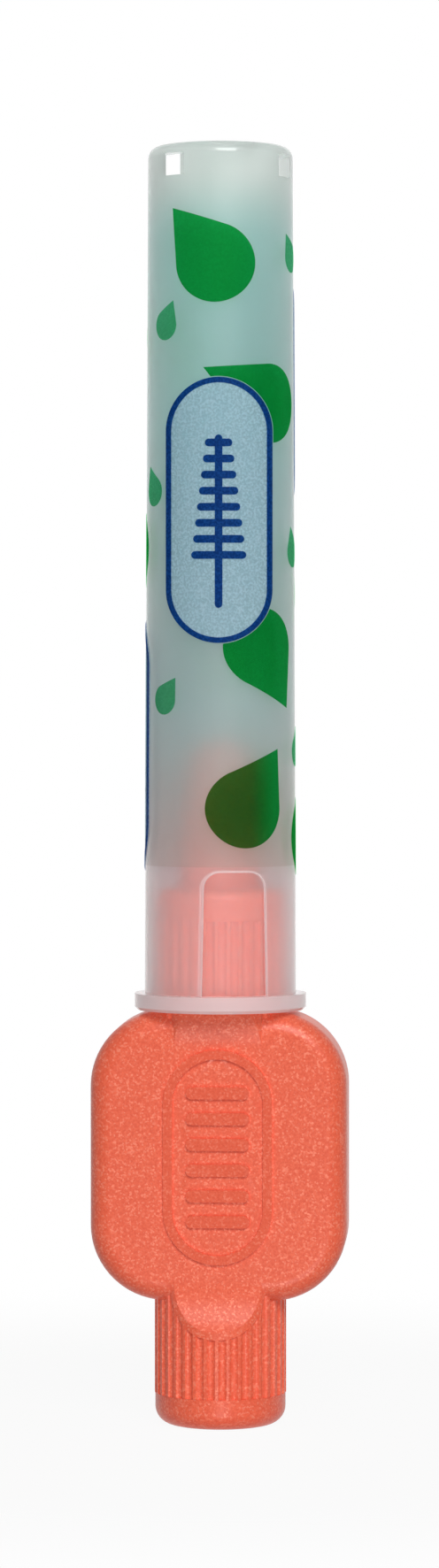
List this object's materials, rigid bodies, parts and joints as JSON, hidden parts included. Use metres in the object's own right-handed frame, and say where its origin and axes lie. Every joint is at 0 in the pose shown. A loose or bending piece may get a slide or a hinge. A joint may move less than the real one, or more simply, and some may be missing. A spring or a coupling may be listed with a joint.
{
  "type": "interdental brush",
  "caption": "Interdental brush with a flat thumb grip, ribbed plugs, a twisted-wire brush and a vented push-on cap with a flange.",
  "frame": {"origin": "centre of the handle's foot, at the base of the upright capped brush", "axes": "+Z from the handle's foot to the closed end of the cap, -Y is the front face of the grip, +X is the viewer's right"},
  "size_m": [0.017, 0.0114, 0.0848],
  "materials": {
    "coral_plastic": "satin, with fine pearl flecks",
    "steel_wire": "drawn stainless wire",
    "white_nylon": "fine monofilament",
    "clear_plastic": "milky, see-through",
    "dark_green_ink": "printed",
    "pale_green_ink": "printed",
    "ice_blue_ink": "printed",
    "dark_blue_ink": "printed"
  },
  "bodies": {
    "brush": {"handle": "coral_plastic", "core_wire": "steel_wire", "bristles": "white_nylon"},
    "cap": {"cap": "clear_plastic", "print_dark_drops": "dark_green_ink", "print_pale_drops": "pale_green_ink", "label_field": "ice_blue_ink", "label_ink": "dark_blue_ink"}
  },
  "joints": [
    {"name": "cap_slide", "type": "slide", "parent": "brush", "child": "cap", "axis": [0, 0, 1], "range_m": [0, 0.045]}
  ]
}
